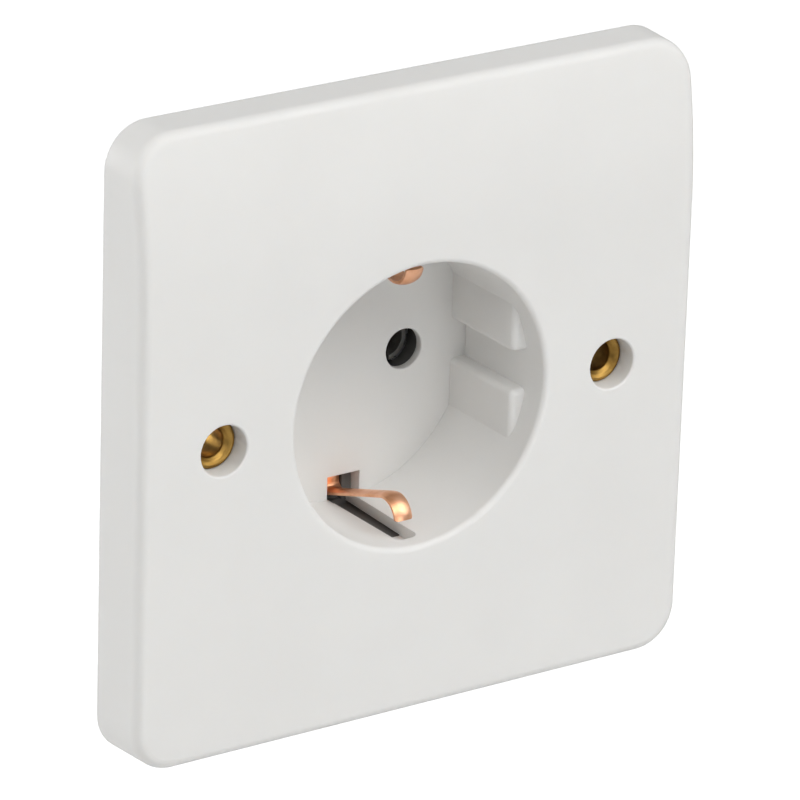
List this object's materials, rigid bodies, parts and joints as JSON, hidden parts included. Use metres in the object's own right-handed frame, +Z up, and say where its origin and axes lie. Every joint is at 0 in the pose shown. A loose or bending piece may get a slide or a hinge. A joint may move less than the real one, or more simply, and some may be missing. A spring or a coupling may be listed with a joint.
{
  "type": "wall socket",
  "caption": "Square white type F wall socket with a round plug recess, sprung earth clips, brass-lined fixing holes on the centre line and a dark rear housing with screw terminals.",
  "frame": {"origin": "midway between the axes of the two fixing holes, on the plane of the wall that the plate's rim rests on", "axes": "-Y out of the wall, along the fixing screws and the way a plug is pulled out; +Z up the wall; +X to the right as seen from the front"},
  "size_m": [0.086, 0.0426, 0.086],
  "materials": {
    "white_plastic": "semi-gloss white",
    "dark_plastic": "matt dark grey",
    "eyelet_brass": "bright, slightly worn",
    "spring_bronze": "satin, copper-coloured",
    "contact_brass": "satin",
    "contact_nickel": "nickel plated, dull",
    "plated_steel": "zinc plated",
    "screw_steel": "zinc plated",
    "spring_steel": "bright spring steel"
  },
  "bodies": {
    "root": {"front_plate": "white_plastic", "housing_frame": "dark_plastic", "terminal_base": "dark_plastic", "left_eyelet": "eyelet_brass", "right_eyelet": "eyelet_brass", "earth_spring": "spring_bronze", "earth_post": "contact_brass", "earth_saddle": "plated_steel", "earth_terminal": "contact_brass", "earth_terminal_screw": "screw_steel", "line_contact": "contact_nickel", "line_contact_ring": "spring_steel", "line_terminal": "contact_brass", "line_terminal_screw": "screw_steel", "neutral_contact": "contact_nickel", "neutral_contact_ring": "spring_steel", "neutral_terminal": "contact_brass", "neutral_terminal_screw": "screw_steel", "housing_screw_1": "screw_steel", "housing_screw_2": "screw_steel", "housing_screw_3": "screw_steel", "housing_screw_4": "screw_steel"}
  },
  "joints": []
}
